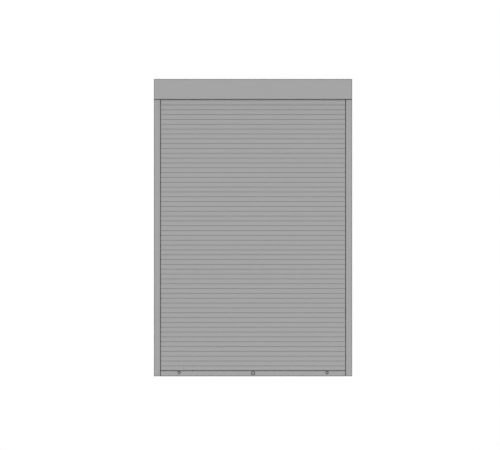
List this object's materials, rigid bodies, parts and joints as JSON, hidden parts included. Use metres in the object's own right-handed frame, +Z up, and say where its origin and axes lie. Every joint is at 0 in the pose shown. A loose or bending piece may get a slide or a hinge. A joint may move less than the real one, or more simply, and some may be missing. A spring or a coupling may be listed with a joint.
{
  "type": "exterior roller shutter",
  "caption": "Exterior roller shutter for a door: square box over two side guides, with a hollow-slat curtain on a sprung shaft, a bottom rail with a key lock and round stops.",
  "frame": {"origin": "on the sill, midway between the guides and midway through the box's depth", "axes": "+X to the right seen from outside, +Y from outside to the wall, +Z up"},
  "size_m": [1.6, 0.165, 2.4],
  "materials": {
    "box_aluminium": "satin",
    "end_cap_aluminium": "satin",
    "guide_aluminium": "satin",
    "slat_aluminium": "satin",
    "rail_aluminium": "satin",
    "galvanised_steel": "satin",
    "plain_steel": "satin",
    "spring_steel": "satin",
    "bearing_steel": "polished",
    "zinc_screws": "satin",
    "bolt_steel": "satin",
    "lock_nickel": "satin",
    "pinion_brass": "satin",
    "black_plastic": "matte",
    "grey_plastic": "matte",
    "black_rubber": "matte",
    "brush_pile": "matte"
  },
  "bodies": {
    "housing": {"casing_back": "box_aluminium", "front_cover": "box_aluminium", "left_end_cap": "end_cap_aluminium", "right_end_cap": "end_cap_aluminium", "box_screws": "zinc_screws", "slot_brush": "brush_pile", "curtain_inlets": "black_plastic", "left_guide": "guide_aluminium", "right_guide": "guide_aluminium", "guide_seals": "black_rubber", "guide_plugs": "grey_plastic", "bolt_keepers": "plain_steel", "keeper_rivets": "zinc_screws", "bearing_outer_ring": "bearing_steel", "bearing_balls": "bearing_steel", "axle_bracket": "galvanised_steel", "bracket_screws": "zinc_screws", "spring_axle": "plain_steel", "spring_anchor": "black_plastic", "axle_collars": "plain_steel", "torsion_spring": "spring_steel", "hanger_straps": "spring_steel"},
    "roller": {"winding_tube": "galvanised_steel", "idler_plug": "black_plastic", "idler_pin": "plain_steel", "bearing_inner_ring": "bearing_steel", "axle_bush": "black_plastic", "spring_carrier": "black_plastic", "tube_screws": "zinc_screws", "hanger_clips": "black_plastic"},
    "bottom_rail": {"lower_slats": "slat_aluminium", "bottom_rail": "rail_aluminium", "rail_seal": "black_rubber", "rail_end_plugs": "grey_plastic", "stop_buttons": "grey_plastic", "stop_pads": "black_rubber", "stop_screws": "zinc_screws", "lock_rosette": "black_plastic", "lock_barrel": "lock_nickel", "lock_backplate": "lock_nickel", "lock_screws": "zinc_screws"},
    "slat_run_01": {"slat_run_01": "slat_aluminium"},
    "slat_run_02": {"slat_run_02": "slat_aluminium"},
    "slat_run_03": {"slat_run_03": "slat_aluminium"},
    "slat_run_04": {"slat_run_04": "slat_aluminium"},
    "slat_run_05": {"slat_run_05": "slat_aluminium"},
    "slat_run_06": {"slat_run_06": "slat_aluminium"},
    "slat_run_07": {"slat_run_07": "slat_aluminium"},
    "slat_run_08": {"slat_run_08": "slat_aluminium"},
    "slat_run_09": {"slat_run_09": "slat_aluminium"},
    "slat_run_10": {"slat_run_10": "slat_aluminium"},
    "slat_run_11": {"slat_run_11": "slat_aluminium"},
    "slat_run_12": {"slat_run_12": "slat_aluminium"},
    "slat_run_13": {"slat_run_13": "slat_aluminium"},
    "slat_run_14": {"slat_run_14": "slat_aluminium", "hanger_shoes": "black_plastic"},
    "key_core": {"key_plug": "lock_nickel", "lock_pinion": "pinion_brass"},
    "left_bolt": {"left_bolt": "bolt_steel"},
    "right_bolt": {"right_bolt": "bolt_steel"}
  },
  "joints": [
    {"name": "curtain_lift", "type": "slide", "parent": "housing", "child": "bottom_rail", "axis": [0, 0, 1], "range_m": [0, 2.1975]},
    {"name": "roller_turn", "type": "hinge", "parent": "housing", "child": "roller", "pos_m": [0, 0, 2.3175], "axis": [1, 0, 0], "range_deg": [0, 2520], "deforming": ["torsion_spring", "hanger_straps"]},
    {"name": "slat_run_01_lift", "type": "slide", "parent": "housing", "child": "slat_run_01", "axis": [0, 0, 1], "range_m": [0, 2.114], "deforming": ["slat_run_01"]},
    {"name": "slat_run_02_lift", "type": "slide", "parent": "housing", "child": "slat_run_02", "axis": [0, 0, 1], "range_m": [0, 1.958], "deforming": ["slat_run_02"]},
    {"name": "slat_run_03_lift", "type": "slide", "parent": "housing", "child": "slat_run_03", "axis": [0, 0, 1], "range_m": [0, 1.802], "deforming": ["slat_run_03"]},
    {"name": "slat_run_04_lift", "type": "slide", "parent": "housing", "child": "slat_run_04", "axis": [0, 0, 1], "range_m": [0, 1.646], "deforming": ["slat_run_04"]},
    {"name": "slat_run_05_lift", "type": "slide", "parent": "housing", "child": "slat_run_05", "axis": [0, 0, 1], "range_m": [0, 1.49], "deforming": ["slat_run_05"]},
    {"name": "slat_run_06_lift", "type": "slide", "parent": "housing", "child": "slat_run_06", "axis": [0, 0, 1], "range_m": [0, 1.334], "deforming": ["slat_run_06"]},
    {"name": "slat_run_07_lift", "type": "slide", "parent": "housing", "child": "slat_run_07", "axis": [0, 0, 1], "range_m": [0, 1.178], "deforming": ["slat_run_07"]},
    {"name": "slat_run_08_lift", "type": "slide", "parent": "housing", "child": "slat_run_08", "axis": [0, 0, 1], "range_m": [0, 1.022], "deforming": ["slat_run_08"]},
    {"name": "slat_run_09_lift", "type": "slide", "parent": "housing", "child": "slat_run_09", "axis": [0, 0, 1], "range_m": [0, 0.866], "deforming": ["slat_run_09"]},
    {"name": "slat_run_10_lift", "type": "slide", "parent": "housing", "child": "slat_run_10", "axis": [0, 0, 1], "range_m": [0, 0.71], "deforming": ["slat_run_10"]},
    {"name": "slat_run_11_lift", "type": "slide", "parent": "housing", "child": "slat_run_11", "axis": [0, 0, 1], "range_m": [0, 0.554], "deforming": ["slat_run_11"]},
    {"name": "slat_run_12_lift", "type": "slide", "parent": "housing", "child": "slat_run_12", "axis": [0, 0, 1], "range_m": [0, 0.398], "deforming": ["slat_run_12"]},
    {"name": "slat_run_13_lift", "type": "slide", "parent": "housing", "child": "slat_run_13", "axis": [0, 0, 1], "range_m": [0, 0.242], "deforming": ["slat_run_13"]},
    {"name": "slat_run_14_lift", "type": "slide", "parent": "housing", "child": "slat_run_14", "axis": [0, 0, 1], "range_m": [0, 0.086], "deforming": ["slat_run_14", "hanger_shoes"]},
    {"name": "key_turn", "type": "hinge", "parent": "bottom_rail", "child": "key_core", "pos_m": [0, 0.0715, 0.025], "axis": [0, -1, 0], "range_deg": [0, 90]},
    {"name": "left_bolt_throw", "type": "slide", "parent": "bottom_rail", "child": "left_bolt", "axis": [-1, 0, 0], "range_m": [0, 0.01257]},
    {"name": "right_bolt_throw", "type": "slide", "parent": "bottom_rail", "child": "right_bolt", "axis": [1, 0, 0], "range_m": [0, 0.01257]}
  ],
  "couplings": [
    {"joint": "roller_turn", "follows": "curtain_lift", "rad_per_m": 20.015},
    {"joint": "slat_run_01_lift", "follows": "curtain_lift", "ratio": 0.962},
    {"joint": "slat_run_02_lift", "follows": "curtain_lift", "ratio": 0.89101},
    {"joint": "slat_run_03_lift", "follows": "curtain_lift", "ratio": 0.82002},
    {"joint": "slat_run_04_lift", "follows": "curtain_lift", "ratio": 0.74903},
    {"joint": "slat_run_05_lift", "follows": "curtain_lift", "ratio": 0.67804},
    {"joint": "slat_run_06_lift", "follows": "curtain_lift", "ratio": 0.60705},
    {"joint": "slat_run_07_lift", "follows": "curtain_lift", "ratio": 0.53606},
    {"joint": "slat_run_08_lift", "follows": "curtain_lift", "ratio": 0.46507},
    {"joint": "slat_run_09_lift", "follows": "curtain_lift", "ratio": 0.39408},
    {"joint": "slat_run_10_lift", "follows": "curtain_lift", "ratio": 0.32309},
    {"joint": "slat_run_11_lift", "follows": "curtain_lift", "ratio": 0.25211},
    {"joint": "slat_run_12_lift", "follows": "curtain_lift", "ratio": 0.18111},
    {"joint": "slat_run_13_lift", "follows": "curtain_lift", "ratio": 0.11013},
    {"joint": "slat_run_14_lift", "follows": "curtain_lift", "ratio": 0.039135},
    {"joint": "key_turn", "follows": "left_bolt_throw", "rad_per_m": 125},
    {"joint": "right_bolt_throw", "follows": "left_bolt_throw", "ratio": 1}
  ]
}
